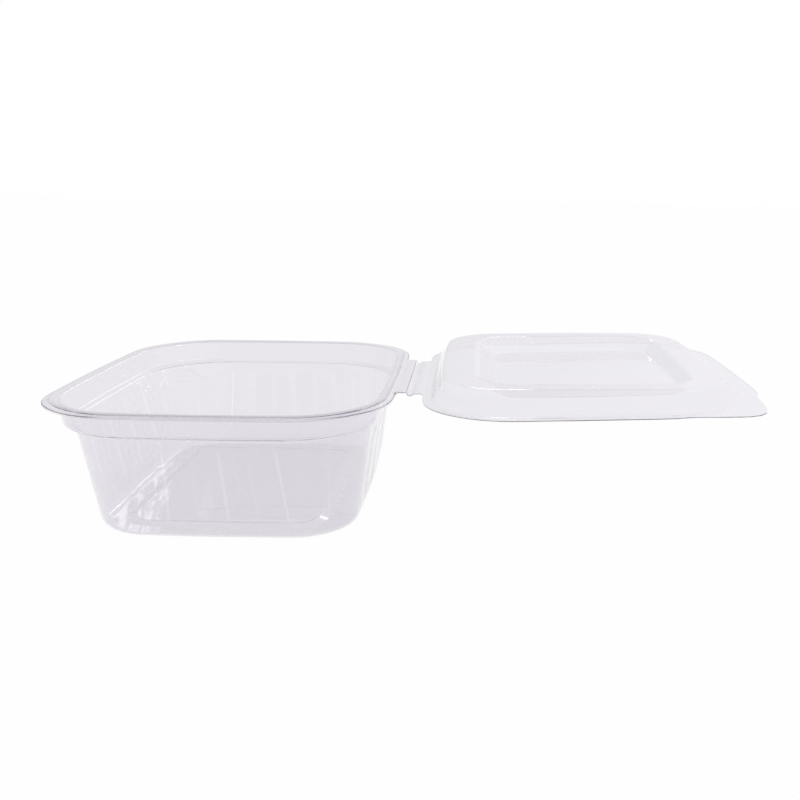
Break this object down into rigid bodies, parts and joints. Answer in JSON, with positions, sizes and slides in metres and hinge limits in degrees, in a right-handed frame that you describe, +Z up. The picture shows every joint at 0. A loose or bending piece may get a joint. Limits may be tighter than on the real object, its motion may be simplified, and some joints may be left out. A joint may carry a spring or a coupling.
{
  "type": "clamshell pack",
  "caption": "Clear plastic clamshell pack: a fluted tub with a wide rim and an inset lid that folds over on a moulded hinge, shown open.",
  "frame": {"origin": "middle of the tub's foot, on the surface that it stands on", "axes": "+Z up, the hinge line runs along Y and the lid opens towards +X, the pictured front faces -Y"},
  "size_m": [0.2714, 0.1598, 0.0599],
  "materials": {
    "clear_sheet": "clear glossy thermoformed sheet"
  },
  "bodies": {
    "tub": {"tub": "clear_sheet"},
    "lid": {"lid": "clear_sheet"}
  },
  "joints": [
    {"name": "lid_hinge", "type": "hinge", "parent": "tub", "child": "lid", "pos_m": [0.06905, 0, 0.04965], "axis": [0, -1, 0], "range_deg": [0, 178]}
  ]
}
